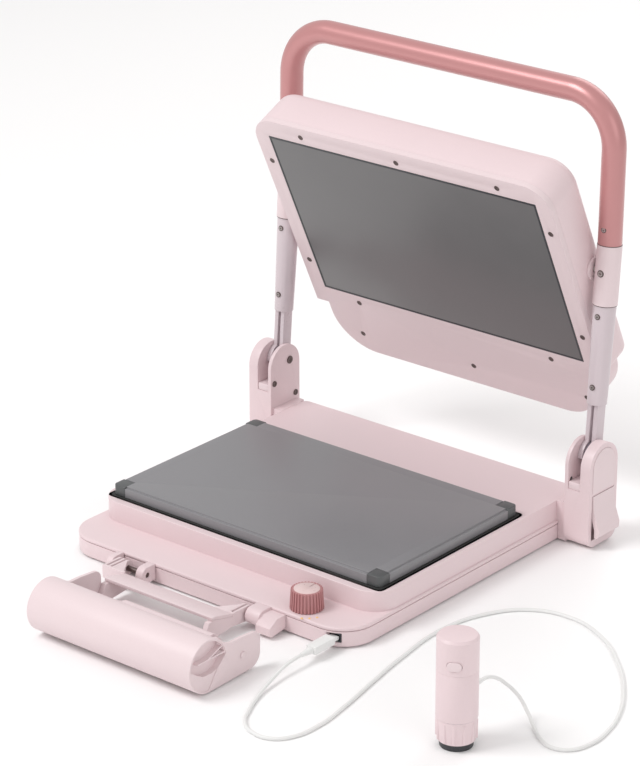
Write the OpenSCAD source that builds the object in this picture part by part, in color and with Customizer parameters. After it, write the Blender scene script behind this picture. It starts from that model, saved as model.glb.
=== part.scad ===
// Clamshell craft press with a lever handle, a swing-out roll tray and a corded hand tool.
// Millimetres, +Z up, the floor at z = 0. Everything is placed from the middle of the
// lower platen's front edge, and place() then moves it all to the shared origin.

/* [Platens] */
// Width of the lower platen, left to right
platen_w = 304.8; // [300:0.1:306]
// Depth of the lower platen, front to back
platen_d = 194.4; // [190:0.1:196]
// Thickness of the lower platen
platen_t = 10; // [8:0.5:12]
// Height of the lower platen's working face above the floor
platen_top = 49; // [48:0.5:50]
// Width of the upper platen
press_w = 296.4; // [280:0.1:300]
// Depth of the upper platen
press_d = 184.8; // [175:0.1:188]
// Gap left for the work between the closed platens
press_gap = 0.4; // [0.3:0.1:3]

/* [Base] */
// Half of the base's width
base_half = 163; // [163:0.5:164]
// Front edge of the deck
deck_front = -54; // [-56:0.5:-54]
// Back edge of the base
base_back = 279; // [279:0.5:282]
// Height of the deck's top face
deck_top = 19.5; // [19:0.5:20]
// Height of the raised frame around the lower platen
frame_top = 38.5; // [38:0.5:38.5]
// Radius of the deck's front corners
deck_r = 32; // [26:1:36]
// Wall thickness of the mouldings
wall = 2.5; // [2:0.1:3]
// Height of the rubber feet under the base
foot_h = 2; // [2:0.5:3]

/* [Towers] */
// Inner face of each hinge tower, from the middle
tower_in = 171; // [171:0.5:172]
// Outer face of each hinge tower, from the middle
tower_out = 198; // [196:0.5:200]
// Front face of the towers
tower_front = 239; // [238:0.5:240]
// Width of the slot that takes the arm's knuckle
slot_w = 13; // [12:0.5:13]

/* [Lever] */
// Lever pivot, front to back
pivot_y = 266.5; // [264:0.5:267]
// Lever pivot height
pivot_z = 81; // [80:0.5:82]
// How far the open arms lean back from upright, in degrees
arm_lean = 4.5; // [3:0.5:6]
// Distance of each arm from the middle
arm_x = 181; // [181:0.5:182]
// Radius of the handle tube
tube_r = 10.8; // [9:0.1:11]
// Radius of the handle's bends, at the middle of the tube
bend_r = 46; // [35:1:60]
// Height of the handle bar's middle above the floor
bar_z = 405.7; // [380:1:440]
// Radius of the lever and head pivot pins
pin_r = 3; // [2.5:0.1:3.5]
// Radial running clearance of every pin
run = 0.05; // [0.02:0.01:0.1]

/* [Head] */
// Half of the head's width
head_half = 166; // [165:0.5:167]
// Edge of the head past the platen's middle, on the side away from the hinge
head_top = 113; // [110:1:120]
// Edge of the full width part, on the hinge side
head_mid = 114; // [110:1:118]
// Edge of the narrower tail, on the hinge side
head_tail = 168; // [160:1:170]
// Half of the tail's width
tail_half = 152; // [145:1:158]
// Total thickness of the head
head_t = 46; // [42:1:48]
// Distance of the upper platen's face from the head's pivot
face_off = 29.4; // [28:0.1:31]

/* [Knob] */
// Radius of the temperature knob
knob_r = 15; // [14:0.5:16]
// Height of the temperature knob
knob_h = 17.4; // [16.4:0.2:22]

/* [Roll tray] */
// Left end of the tray
tray_l = -64; // [-68:1:-60]
// Right end of the tray
tray_r = 118; // [114:1:122]
// Radius of the tray's round front
tray_rad = 23.5; // [22:0.5:24]

/* [Hand tool] */
// Hand tool's place, left to right
tool_x = 324; // [310:1:340]
// Hand tool's place, front to back
tool_y = -117; // [-130:1:-100]
// Radius of the hand tool's body
tool_r = 17; // [15:0.5:18]
// Height of the hand tool
tool_h = 97; // [90:1:110]
// Diameter of the tool's cord
cord_d = 3.2; // [3:0.1:3.6]

/* [Hidden] */
$fn = 64;

// Colours
pink = [0.93, 0.82, 0.83];
pale_pink = [0.95, 0.88, 0.88];
rose = [0.80, 0.55, 0.56];
grey = [0.45, 0.45, 0.46];
dark = [0.12, 0.12, 0.13];
steel = [0.72, 0.72, 0.73];
white = [0.93, 0.93, 0.92];
board_green = [0.10, 0.35, 0.22];

// Base
pan_bottom = foot_h;
seam_z = 15.5;
frame_front = -12;
frame_half = 161;
frame_r = 24;
back_r = 6;
deck_gap = 4;
platen_under = platen_top - platen_t;
platen_mid_y = platen_d / 2;
knob_x = 103;
knob_y = -36;
spindle_r = 3;
socket_x = 144;
socket_z = 10;
corner_clip = 14;

// Towers and lever
tower_mid_y = 260;
tower_r = tower_mid_y - tower_front;
tower_round_z = 77;
tower_foot_r = 9;
slot_floor = 62;
stop_bottom = 55;
knuckle_r = 14;
knuckle_w = slot_w - 0.6;
strut_end = 50;
arm_end = 140;
sleeve_end = 194;
sleeve_r = 11.2;
paddle_top = 52;
paddle_x = tower_out - 5;
cover_bottom = paddle_top + 1.4;
cover_r = tower_r - 4.5;
cover_out = 0.6;

// The arm's length brings the closed head down square onto the lower platen
closed_dy = pivot_y - platen_mid_y;
closed_dz = platen_top + press_gap + face_off - pivot_z;
arm_len = sqrt(closed_dy * closed_dy + closed_dz * closed_dz);
head_rest = 115.4;
head_pivot_y = pivot_y + arm_len * sin(arm_lean);
head_pivot_z = pivot_z + arm_len * cos(arm_lean);

// Head
head_r = 26;
tail_r = 42;
bezel_t = 6;
back_round = 11;
round_steps = 6;
function step_z(i) = back_round * (1 - cos(90 * i / round_steps));
function step_in(i) = back_round * (1 - sin(min(90, 90 * (i + 0.5) / round_steps)));
head_back = face_off - head_t;

// Tray, hinge and roll
hinge_y = -64;
hinge_z = 12;
hinge_r = 2.5;
tray_mid_y = -178;
tray_mid_z = tray_rad + 1.5;
tray_back = -114;
tray_lip_y = -155;
tray_lip_z = 31;
tray_wall = 2.4;
tray_end = 9;
ear_r = 8;
roll_y = -136;
roll_z = 19;
roll_r = 8;

// Hand tool's button and cord
button_turn = 28;
button_z = 76;
cord_r = cord_d / 2;
floor_z = cord_r;
cord_z = 44;
cord_route = [
    [tool_x, -86, cord_z], [tool_x, -79, 43.6], [325, -69, 40], [328, -58, 31], [335, -50, 19],
    [344, -50, 8], [356, -58, 2.4], [370, -69, floor_z], [386, -76, floor_z],
    [400, -70, floor_z], [407, -52, floor_z], [405, -25, floor_z], [396, 3, floor_z],
    [376, 38, floor_z], [342, 78, floor_z], [304, 108, floor_z], [264, 120, floor_z],
    [229, 110, floor_z], [204, 77, floor_z], [194, 30, floor_z], [200, -30, floor_z],
    [209, -80, floor_z], [218, -125, floor_z], [223, -165, floor_z], [219, -192, floor_z],
    [207, -206, floor_z], [189, -207, floor_z], [174, -198, floor_z], [163, -180, floor_z],
    [153, -156, 2.4], [147, -132, 5.5], [socket_x, -110, 9], [socket_x, -96, socket_z],
    [socket_x, -92, socket_z]
];

// The shared origin: the middle of the box without the cord, on the floor
head_back_y = head_pivot_y - cos(head_rest) * (head_tail - step_in(2))
    - sin(head_rest) * (head_back + step_z(2));
mid_x = (tool_x + tool_r - tower_out - cover_out) / 2;
mid_y = (head_back_y + tray_mid_y - tray_rad) / 2;

module place() {
    translate([-mid_x, -mid_y, 0]) children();
}

// Flat outline with a square back and round front corners
module base_outline(half, front, back, front_r, back_rad) {
    difference() {
        translate([-half, front]) square([2 * half, back - front]);
        for (s = [-1, 1]) {
            translate([s * half, front]) rotate(s < 0 ? 0 : 90) corner_cut(front_r);
            translate([s * half, back]) rotate(s < 0 ? 270 : 180) corner_cut(back_rad);
        }
    }
}

// What is cut from a square corner at the origin to round it
module corner_cut(r) {
    difference() {
        translate([-1, -1]) square([r + 1, r + 1]);
        translate([r, r]) circle(r);
    }
}

module rounded_rect(w, h, r) {
    difference() {
        square([w, h], center = true);
        for (sx = [-1, 1])
            for (sy = [-1, 1])
                translate([sx * w / 2, sy * h / 2])
                    scale([-sx, -sy]) corner_cut(r);
    }
}

module rod_x(r, length) {
    rotate([0, 90, 0]) cylinder(r = r, h = length, center = true);
}

// ---------------------------------------------------------------- base

module base_pan() {
    color(pink) place() difference() {
        translate([0, 0, pan_bottom]) linear_extrude(seam_z - pan_bottom)
            base_outline(base_half, deck_front, base_back, deck_r, back_r);
        translate([0, 0, pan_bottom + wall]) linear_extrude(seam_z)
            base_outline(base_half - wall, deck_front + wall, base_back - wall,
                deck_r - wall, back_r - wall);
        translate([socket_x - 6, deck_front - 1, socket_z - 4.2]) cube([12, 12, 8.4]);
        translate([-110, base_back - wall - 1, 4.5]) cube([30, wall + 2, 11]);
    }
    // posts under the lower platen
    color(pink) place() for (x = [-120, 120])
        for (y = [34, 160])
            translate([x, y, pan_bottom + wall]) cylinder(r = 6, h = 29 - pan_bottom - wall);
}

module base_cover() {
    color(pink) place() difference() {
        union() {
            translate([0, 0, seam_z]) linear_extrude(deck_top - seam_z)
                base_outline(base_half, deck_front, base_back, deck_r, back_r);
            translate([0, 0, deck_top]) linear_extrude(frame_top - deck_top)
                base_outline(frame_half, frame_front, base_back - 1, frame_r, back_r);
        }
        translate([0, 0, seam_z - 1]) linear_extrude(deck_top - seam_z - wall + 1)
            base_outline(base_half - wall, deck_front + wall, base_back - wall,
                deck_r - wall, back_r - wall);
        translate([0, 0, seam_z]) linear_extrude(frame_top - seam_z - wall)
            base_outline(frame_half - wall, frame_front + wall, base_back - 1 - wall,
                frame_r - wall, back_r - wall);
        translate([0, platen_mid_y, 0]) linear_extrude(frame_top + 1)
            rounded_rect(platen_w + 2 * deck_gap, platen_d + 2 * deck_gap, 6);
        translate([knob_x, knob_y, 0]) cylinder(r = spindle_r + 0.6, h = deck_top + 1);
    }
}

module rubber_feet() {
    color(dark) place()
        for (p = [[-135, -26], [135, -26], [-148, 262], [148, 262], [0, 262], [0, -26]])
            translate([p[0], p[1], 0]) cylinder(r = 9, h = pan_bottom);
}

module base_screws() {
    color(steel) place()
        for (p = [[-110, -20], [110, 60], [-110, 60], [-60, 262], [60, 262]])
            translate([p[0], p[1], pan_bottom - 1.2]) {
                cylinder(r = 3, h = 1.2);
            }
}

module platen_gasket() {
    color(dark) place() difference() {
        translate([0, platen_mid_y, 29]) linear_extrude(platen_under - 29)
            rounded_rect(platen_w + 5, platen_d + 5, 5);
        translate([0, platen_mid_y, 31]) linear_extrude(platen_t)
            rounded_rect(platen_w - 20, platen_d - 20, 5);
        translate([-20, platen_mid_y - 20, 20]) cube([40, 40, 20]);
    }
}

module platen_blank(inset, t) {
    linear_extrude(t) difference() {
        square([platen_w - 2 * inset, platen_d - 2 * inset], center = true);
        for (sx = [-1, 1])
            for (sy = [-1, 1])
                translate([sx * platen_w / 2, sy * platen_d / 2])
                    square(2 * corner_clip, center = true);
    }
}

module lower_platen() {
    color(grey) place() translate([0, platen_mid_y, platen_under]) {
        platen_blank(0, platen_t - 1.6);
        translate([0, 0, platen_t - 1.6]) platen_blank(2.5, 1.6);
    }
}

module platen_corners() {
    color(dark) place() translate([0, platen_mid_y, platen_under])
        for (sx = [-1, 1])
            for (sy = [-1, 1])
                translate([sx * platen_w / 2, sy * platen_d / 2])
                    scale([-sx, -sy, 1]) linear_extrude(platen_t - 0.4) difference() {
                        square(corner_clip);
                        corner_cut(4);
                    }
}

module lower_heater() {
    color([0.75, 0.45, 0.2]) place() translate([0, platen_mid_y, 31.2])
        linear_extrude(platen_under - 31.4) difference() {
            rounded_rect(platen_w - 30, platen_d - 30, 10);
            rounded_rect(60, 60, 10);
        }
}

module control_board() {
    color(board_green) place() {
        translate([60, -46, 7]) cube([64, 26, 1.6]);
        translate([64, -42, 8.6]) cube([12, 10, 3]);
        translate([-60, 60, 7]) cube([120, 70, 1.6]);
        translate([-50, 70, 8.6]) cube([24, 20, 9]);
        translate([10, 80, 8.6]) cylinder(r = 7, h = 9);
        for (p = [[-56, 64], [52, 64], [-56, 122], [52, 122], [64, -24], [120, -24]])
            translate([p[0], p[1], pan_bottom + wall]) cylinder(r = 2.4, h = 7 - pan_bottom - wall);
    }
}

module knob_spindle() {
    color(steel) place() translate([knob_x, knob_y, 8.6]) {
        cylinder(r = 7, h = 6);
        cylinder(r = spindle_r, h = deck_top + 14 - 8.6);
    }
}

module temperature_knob() {
    color(rose) place() translate([knob_x, knob_y, deck_top + 0.4]) difference() {
        union() {
            cylinder(r1 = knob_r - 0.7, r2 = knob_r - 1.5, h = knob_h - 1.4);
            translate([0, 0, knob_h - 1.4]) cylinder(r1 = knob_r - 1.5, r2 = knob_r - 2.8, h = 1.4);
            for (a = [0:12:348])
                rotate(a) translate([knob_r - 1.3, 0, 1]) cylinder(r = 0.9, h = knob_h - 3.4, $fn = 16);
        }
        translate([0, 0, -1]) cylinder(r = spindle_r + run, h = 15);
        translate([-1, 3, knob_h - 0.8]) cube([2, knob_r - 7, 2]);
    }
}

module tool_socket() {
    color(dark) place() translate([socket_x, deck_front, socket_z]) difference() {
        translate([-5.8, 5.5, -4]) cube([11.6, 14, 8]);
        translate([-5, 4.5, -2.4]) cube([10, 11, 4.8]);
    }
}

module power_inlet() {
    color(dark) place() translate([-95, base_back, 10]) difference() {
        translate([-14, -22, -5]) cube([28, 21.5, 9.6]);
        translate([-10.5, -15, -3.4]) cube([21, 16, 6.4]);
    }
}

module inlet_pins() {
    color(steel) place() for (x = [-99.5, -90.5])
        translate([x, base_back - 9, 9.8]) along_y(1.2, 12);
}

// ---------------------------------------------------------------- towers

module tower_profile() {
    difference() {
        translate([tower_front, pan_bottom]) square([2 * tower_r, tower_round_z - pan_bottom]);
        for (s = [-1, 1])
            translate([tower_mid_y + s * tower_r, pan_bottom])
                scale([-s, 1]) corner_cut(tower_foot_r);
    }
    translate([tower_mid_y, tower_round_z]) circle(tower_r);
}

// Extrudes a profile drawn in Y and Z along X, from x0 to x1
module along_x(x0, x1) {
    translate([x0, 0, 0]) rotate([90, 0, 90]) linear_extrude(x1 - x0) children();
}

module tower(side) {
    x0 = tower_in;
    mirror([side < 0 ? 1 : 0, 0, 0]) difference() {
        union() {
            along_x(x0, tower_out) tower_profile();
            translate([base_half, tower_front + 3, pan_bottom])
                cube([x0 - base_half + 1, 2 * tower_r - 6, frame_top - pan_bottom]);
            translate([frame_half, tower_front + 3, deck_top])
                cube([x0 - frame_half + 1, 2 * tower_r - 12, frame_top - deck_top]);
        }
        translate([arm_x - slot_w / 2, tower_front - 1, stop_bottom])
            cube([slot_w, 2 * tower_r + 2, 60]);
        translate([arm_x, pivot_y, pivot_z]) rod_x(pin_r + run, 2 * tower_out);
        along_x(tower_out - 3, tower_out + 1) oval_cover(cover_r);
        for (p = [[244, 63], [275, 45]])
            translate([x0, p[0], p[1]]) rod_x(2, 12);
        if (side > 0) {
            translate([tower_out - 13, tower_front + 4.5, 9])
                cube([14, 2 * tower_r - 9, paddle_top - 9]);
            translate([paddle_x, tower_mid_y, paddle_top - 5]) along_y(1.5, 37);
        }
    }
}

module along_y(r, length) {
    rotate([90, 0, 0]) cylinder(r = r, h = length, center = true);
}

module oval_cover(r) {
    translate([tower_mid_y - r, cover_bottom]) square([2 * r, tower_round_z - cover_bottom]);
    translate([tower_mid_y, tower_round_z]) circle(r);
}

module left_tower() {
    color(pink) place() tower(-1);
}

module right_tower() {
    color(pink) place() tower(1);
}

module stop_block(side) {
    translate([side * arm_x - slot_w / 2 + 0.1, tower_front + 0.5, stop_bottom])
        cube([slot_w - 0.2, 2 * tower_r - 1, slot_floor - stop_bottom]);
}

module left_stop_block() {
    color(pale_pink) place() stop_block(-1);
}

module right_stop_block() {
    color(pale_pink) place() stop_block(1);
}

module side_cover(side) {
    mirror([side < 0 ? 1 : 0, 0, 0])
        along_x(tower_out - 3, tower_out + cover_out) oval_cover(cover_r - 0.2);
}

module left_side_cover() {
    color(pink) place() side_cover(-1);
}

module right_side_cover() {
    color(pink) place() side_cover(1);
}

// The release paddle leans outwards and is pressed in at its foot
module release_paddle() {
    half = tower_r - 5.2;
    color(pale_pink) place() difference() {
        translate([0, tower_mid_y + half, 0]) rotate([90, 0, 0]) linear_extrude(2 * half)
            polygon([[tower_out - 8, paddle_top - 0.6], [tower_out + 0.6, paddle_top - 0.6],
                [tower_out + 1.6, 38], [tower_out + 8, 20], [tower_out + 7.4, 14],
                [tower_out + 3.6, 11], [tower_out + 2.6, 14], [tower_out + 2.6, 20],
                [tower_out - 2.5, 38], [tower_out - 8, 42]]);
        translate([paddle_x, tower_mid_y, paddle_top - 5]) along_y(1.5 + run, 60);
    }
}

module paddle_pin() {
    color(steel) place() translate([paddle_x, tower_mid_y, paddle_top - 5])
        along_y(1.5, 36);
}

module arm_pivot_pins() {
    color(steel) place() for (side = [-1, 1])
        mirror([side < 0 ? 1 : 0, 0, 0])
            translate([tower_in + 12.2, pivot_y, pivot_z]) rod_x(pin_r, 23.2);
}

module tower_screws() {
    color(dark) place() for (side = [-1, 1])
        for (p = [[244, 63], [275, 45]])
            mirror([side < 0 ? 1 : 0, 0, 0])
                translate([tower_in + 1.8, p[0], p[1]]) rod_x(1.95, 2.6);
}

// ---------------------------------------------------------------- lever

// Carries children from the arm's own frame, +Z along the arm, to its open place
module on_arm(side) {
    translate([side * arm_x, pivot_y, pivot_z]) rotate([-arm_lean, 0, 0]) children();
}

module arm() {
    difference() {
        union() {
            rod_x(knuckle_r, knuckle_w);
            translate([-5.5, -6, 4]) cube([4, 12, strut_end - 4]);
            translate([1.5, -6, 4]) cube([4, 12, strut_end - 4]);
            translate([0, 0, strut_end - 2]) cylinder(r1 = 9, r2 = 10.4, h = arm_end - strut_end + 2);
        }
        rod_x(pin_r + run, 20);
        translate([0, 0, -knuckle_r]) cube([3.2, 30, 4 * knuckle_r], center = true);
        // the cheeks hook over the cam and stop short in front of it
        translate([-10, -24, -26]) cube([20, 20, 24]);
        for (z = [64.4, 129.7])
            translate([0, -12, z]) along_y(1.5, 8);
    }
}

module left_arm() {
    color(pale_pink) place() on_arm(-1) arm();
}

module right_arm() {
    color(pale_pink) place() on_arm(1) arm();
}

module cam() {
    difference() {
        rod_x(knuckle_r - 1.5, 3);
        rod_x(pin_r + run, 6);
        translate([0, 12, 4]) rotate([30, 0, 0]) cube([6, 6, 5], center = true);
    }
}

module left_cam() {
    color(grey) place() on_arm(-1) cam();
}

module right_cam() {
    color(grey) place() on_arm(1) cam();
}

module sleeve(side) {
    difference() {
        translate([0, 0, arm_end]) cylinder(r = sleeve_r, h = sleeve_end - arm_end);
        translate([-side * 6, 0, arm_len]) rod_x(4 + run, 13);
        translate([0, -sleeve_r, arm_len]) along_y(3.3, 6);
    }
}

module left_sleeve() {
    color(pale_pink) place() on_arm(-1) sleeve(-1);
}

module right_sleeve() {
    color(pale_pink) place() on_arm(1) sleeve(1);
}

module screw_y(r, length) {
    rotate([90, 0, 0]) cylinder(r = r, h = length);
}

module arm_screws() {
    color(steel) place() for (side = [-1, 1]) on_arm(side) {
        translate([0, -8, 64.4]) screw_y(1.5, 2.4);
        translate([0, -8, 129.7]) screw_y(1.5, 3);
        translate([0, -8.3, arm_len]) screw_y(3.2, 2.6);
    }
}

// The handle's feet are pressed into the sleeves' ends
module handle_tube() {
    foot_y = pivot_y + sleeve_end * sin(arm_lean);
    foot_z = pivot_z + sleeve_end * cos(arm_lean);
    leg = bar_z - bend_r - foot_z;
    color(rose) place() translate([0, foot_y, foot_z]) rotate([-1, 0, 0]) {
        for (side = [-1, 1])
            translate([side * arm_x, 0, 0]) cylinder(r = tube_r, h = leg);
        for (side = [-1, 1])
            translate([side * (arm_x - bend_r), 0, leg]) mirror([side < 0 ? 1 : 0, 0, 0])
                rotate([90, 0, 0]) rotate_extrude(angle = 90) translate([bend_r, 0]) circle(tube_r);
        translate([0, 0, leg + bend_r]) rod_x(tube_r, 2 * (arm_x - bend_r));
    }
}

// ---------------------------------------------------------------- head

// Carries children from the head's own frame to its open place. In that frame +Y runs from
// the tail to the front edge, +Z out of the upper platen's face, and the pivot is at the origin.
module on_head() {
    translate([0, head_pivot_y, head_pivot_z]) rotate([head_rest, 0, 0]) children();
}

module head_outline(inset) {
    half = head_half - inset;
    difference() {
        union() {
            translate([-half, -head_mid + inset])
                square([2 * half, head_top + head_mid - 2 * inset]);
            translate([-tail_half + inset, -head_tail + inset])
                square([2 * (tail_half - inset), head_tail]);
        }
        for (s = [-1, 1]) {
            translate([s * half, head_top - inset]) scale([-s, -1]) corner_cut(head_r - inset);
            translate([s * (tail_half - inset), -head_tail + inset])
                scale([-s, 1]) corner_cut(tail_r - inset);
        }
    }
}

module head_cover() {
    color(pink) place() on_head() difference() {
        // the back edge is rounded in fine steps
        union() {
            for (i = [0:round_steps])
                translate([0, 0, head_back + step_z(i)])
                    linear_extrude(head_t - bezel_t - step_z(i)) head_outline(step_in(i));
        }
        translate([0, 0, head_back + 3]) linear_extrude(head_t) head_outline(9);
        rod_x(8, 2 * head_half + 10);
    }
}

module head_bezel() {
    color(pale_pink) place() on_head() difference() {
        translate([0, 0, face_off - bezel_t]) linear_extrude(bezel_t) head_outline(0);
        translate([0, 0, face_off - bezel_t - 1]) linear_extrude(bezel_t + 2)
            square([press_w + 3, press_d + 3], center = true);
        for (p = bezel_screw_points())
            translate([p[0], p[1], face_off - 2]) cylinder(r = 2.2, h = 3);
    }
}

function bezel_screw_points() = [
    [-109, 102], [0, 101], [111, 102], [-157, 62], [157, 62], [-157, -61], [157, -61],
    [-111, -103], [111, -103], [-121, -146], [11, -145], [140, -142]
];

module bezel_screws() {
    color(steel) place() on_head() for (p = bezel_screw_points())
        translate([p[0], p[1], face_off - 2]) cylinder(r = 2.1, h = 1.3);
}

module upper_gasket() {
    color(dark) place() on_head() translate([0, 0, face_off - bezel_t]) linear_extrude(bezel_t - 1)
        difference() {
            square([press_w + 2.8, press_d + 2.8], center = true);
            square([press_w, press_d], center = true);
        }
}

module upper_platen() {
    color(grey) place() on_head() translate([0, 0, face_off - 8]) linear_extrude(8)
        square([press_w - 0.2, press_d - 0.2], center = true);
}

module upper_heater() {
    color([0.75, 0.45, 0.2]) place() on_head() translate([0, 0, face_off - 11])
        linear_extrude(2.8) difference() {
            rounded_rect(press_w - 20, press_d - 20, 10);
            rounded_rect(60, 60, 10);
        }
}

module pivot_bosses() {
    color(pale_pink) place() on_head() for (s = [-1, 1])
        translate([s * (head_half + 1.3), 0, 0]) difference() {
            rod_x(10.5, 2.6);
            rod_x(4, 6);
        }
}

module head_pins() {
    color(steel) place() on_head() for (s = [-1, 1])
        translate([s * (head_half + 4), 0, 0]) {
            translate([-s * 1.5, 0, 0]) rod_x(3.99, 25);
            translate([-s * 10, 0, 0]) rod_x(7.9, 8);
        }
}

// ---------------------------------------------------------------- roll tray

module tray_brackets() {
    color(pink) place() {
        difference() {
            for (x = [[-96, -90], [-61, -53], [64, 79]])
                along_x(x[0], x[1]) {
                    translate([hinge_y, hinge_z]) circle(7.5);
                    translate([hinge_y, hinge_z - 7.5]) square([deck_front - hinge_y, 15]);
                }
            translate([0, hinge_y, hinge_z]) rod_x(hinge_r, 300);
        }
        // the wedge beside the right barrel
        along_x(79, 95) polygon([[deck_front, 4.5], [deck_front, 17], [hinge_y - 1, 17],
            [hinge_y - 11, 11], [hinge_y - 11, 4], [hinge_y - 8, 2.5]]);
    }
}

module tray_hinge_pins() {
    color(steel) place() {
        translate([-74.5, hinge_y, hinge_z]) rod_x(hinge_r, 41);
        translate([67, hinge_y, hinge_z]) rod_x(hinge_r, 23.6);
    }
}

// Flat outline of the tray's ends, in Y and Z
module tray_outline(inset) {
    r = tray_rad - inset;
    translate([tray_mid_y, tray_mid_z]) circle(r);
    polygon([
        [tray_mid_y, tray_mid_z - r], [tray_back - inset - 12, tray_mid_z - r + 1],
        [tray_back - inset, tray_mid_z - 10], [tray_back - inset, 27 - inset],
        [tray_lip_y, tray_lip_z - inset], [tray_mid_y + 8, tray_mid_z + r - 1.5 ]
    ]);
}

// The raised back of each end plate, with its round corners
module tray_ear() {
    translate([tray_back - ear_r, 34 - ear_r]) circle(ear_r);
    translate([tray_back - 12.5, 15]) circle(12.5);
    polygon([[tray_lip_y, 20], [tray_back, 15], [tray_back, 34 - ear_r], [tray_back - ear_r, 34],
        [-139, 35.5], [-150, 35.5], [-158, 38]]);
}

// What is sunk into the right end's face: the pockets, and a shallow step inside the rim
module tray_pockets() {
    difference() {
        translate([tray_mid_y, tray_mid_z]) circle(tray_rad - 2.4);
        polygon([[-140, 37], [-151.5, 33], [-159.3, 25.7], [-167, 18.6], [-173, 16.8],
            [-184, 17.3], [-191, 21.2], [-205, 31], [-205, -5], [-130, -5]]);
        translate([-190, 29.5]) square([46, 1.2]);
        translate([-178, 29.5]) rotate(20) square([30, 1.2]);
    }
}

module tray_step() {
    difference() {
        translate([tray_mid_y, tray_mid_z]) circle(tray_rad - 1.6);
        polygon([[-140, 37], [-151.5, 33], [-159.3, 25.7], [-167, 18.6], [-180, 0],
            [-180, -5], [-130, -5]]);
    }
}

module roll_tray() {
    color(pale_pink) place() difference() {
        union() {
            along_x(tray_l, tray_r) tray_outline(0);
            for (x = [tray_l, tray_r - 3]) along_x(x, x + 3) tray_ear();
        }
        along_x(tray_l + 3, tray_r - tray_end) tray_outline(tray_wall);
        // the open top, from the long lip back past the rear edge
        translate([tray_l + 3, tray_lip_y, 7])
            cube([tray_r - tray_l - 6, tray_back - tray_lip_y + 6, 60]);
        translate([tray_l + 3, tray_lip_y - 6, 27]) cube([tray_r - tray_l - 6, 20, 60]);
        along_x(tray_r - tray_end + 3, tray_r + 1) tray_pockets();
        along_x(tray_r - 0.8, tray_r + 1) tray_step();
        translate([0, roll_y, roll_z]) rod_x(3 + run, 400);
    }
}

module tray_bridge() {
    color(pale_pink) place() along_x(-60.8, 62)
        polygon([[-84, 16], [-84, 19], [-106, 24.5], [-110, 24.5], [-110, 21.5], [-106, 21.5]]);
}

module tray_fin() {
    translate([hinge_y, hinge_z]) circle(6.8);
    polygon([[hinge_y, hinge_z - 6.8], [hinge_y, hinge_z + 6.8], [-84, 19], [-84, 7]]);
}

module tray_arms() {
    color(pale_pink) place() {
        difference() {
            for (x = [-88, -83.4, -78.8, 55, 59.6]) along_x(x, x + 2.4) tray_fin();
            translate([0, hinge_y, hinge_z]) rod_x(hinge_r + run, 400);
        }
        // the wall that joins the fins, and the flat gussets beside them
        for (x = [[-88, -63], [55, 62]])
            along_x(x[0], x[1]) polygon([[-84, 7], [-84, 19], [-81.4, 19], [-81.4, 9.4],
                [-73, 8], [-73, 6.02]]);
        translate([0, 0, 16.6]) linear_extrude(2.2) {
            polygon([[-77, -64], [-77, -84], [-63, -84]]);
            polygon([[56, -64], [56, -84], [41, -84]]);
        }
        // rails from the arms to the tray's back wall
        for (x = [-60.8, 57])
            along_x(x, x + 5) polygon([[-84, 7], [-84, 16], [-106, 21.4], [-113.8, 21],
                [-121.6, 7], [-124.2, 4.3], [-114, 4.3]]);
        translate([-64, -84, 7]) cube([8.2, 1, 9]);
    }
}

module roll_core() {
    color(pale_pink) place() difference() {
        translate([35, roll_y, roll_z]) rod_x(roll_r, 100);
        translate([35, roll_y, roll_z]) rod_x(3.4, 104);
    }
}

module roll_plugs() {
    color(pink) place() {
        translate([27, roll_y, roll_z]) rod_x(3, 184);
        for (x = [-18, 88])
            translate([x, roll_y, roll_z]) rod_x(6, 5);
    }
}

// ---------------------------------------------------------------- hand tool

module at_tool() {
    translate([tool_x, tool_y, 0]) children();
}

module tool_tip() {
    color(dark) place() at_tool() {
        cylinder(r1 = 13.6, r2 = 14.2, h = 6);
    }
}

module tool_collar() {
    color(pink) place() at_tool() translate([0, 0, 6.2]) difference() {
        union() {
            cylinder(r1 = tool_r - 1.6, r2 = tool_r - 0.4, h = 20);
            for (a = [0:30:330])
                rotate(a) translate([tool_r - 1.4, 0, 1.5]) cylinder(r = 1.4, h = 16, $fn = 16);
        }
        translate([0, 0, -1]) cylinder(r = 11 + run, h = 30);
    }
}

module tool_body() {
    color(pink) place() at_tool() difference() {
        union() {
            translate([0, 0, 6]) cylinder(r = 11, h = 21);
            translate([0, 0, 26.4]) cylinder(r = tool_r, h = 41);
        }
        translate([0, 0, 28]) cylinder(r = tool_r - 2.2, h = 50);
        translate([0, 0, 5]) cylinder(r = 2, h = 24);
        translate([0, tool_r, cord_z]) along_y(2.6, 12);
    }
}

module tool_cap() {
    color(pink) place() at_tool() difference() {
        union() {
            translate([0, 0, 67.5]) cylinder(r = tool_r, h = tool_h - 67.5 - 2);
            translate([0, 0, tool_h - 2]) cylinder(r1 = tool_r, r2 = tool_r - 1.6, h = 2);
        }
        translate([0, 0, 66]) cylinder(r = tool_r - 2.4, h = tool_h - 66 - 3);
        button_shape(0.3, tool_r - 10, tool_r + 4);
    }
}

// The button's rounded bar, grown by a gap and running outwards between two distances
module button_shape(grow, inner, outer) {
    rotate(button_turn) translate([0, 0, button_z]) rotate([90, 0, 0])
        translate([0, 0, inner]) linear_extrude(outer - inner) {
            square([4, 8 + 2 * grow], center = true);
            for (s = [-1, 1])
                translate([s * 2, 0]) circle(4 + grow);
        }
}

module tool_button() {
    color(pale_pink) place() at_tool() button_shape(0, tool_r - 3.6, tool_r + 0.6);
}

module tool_motor() {
    color(steel) place() at_tool() {
        translate([0, 0, 28]) cylinder(r = 10, h = 34);
        translate([0, 0, 8]) cylinder(r = 1.5, h = 21);
    }
}

module tool_boot() {
    color(white) place() at_tool() translate([0, tool_r - 4, cord_z]) rotate([-90, 0, 0])
        cylinder(r1 = 2.6, r2 = 2.1, h = -86 - tool_y - tool_r + 4);
}

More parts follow.
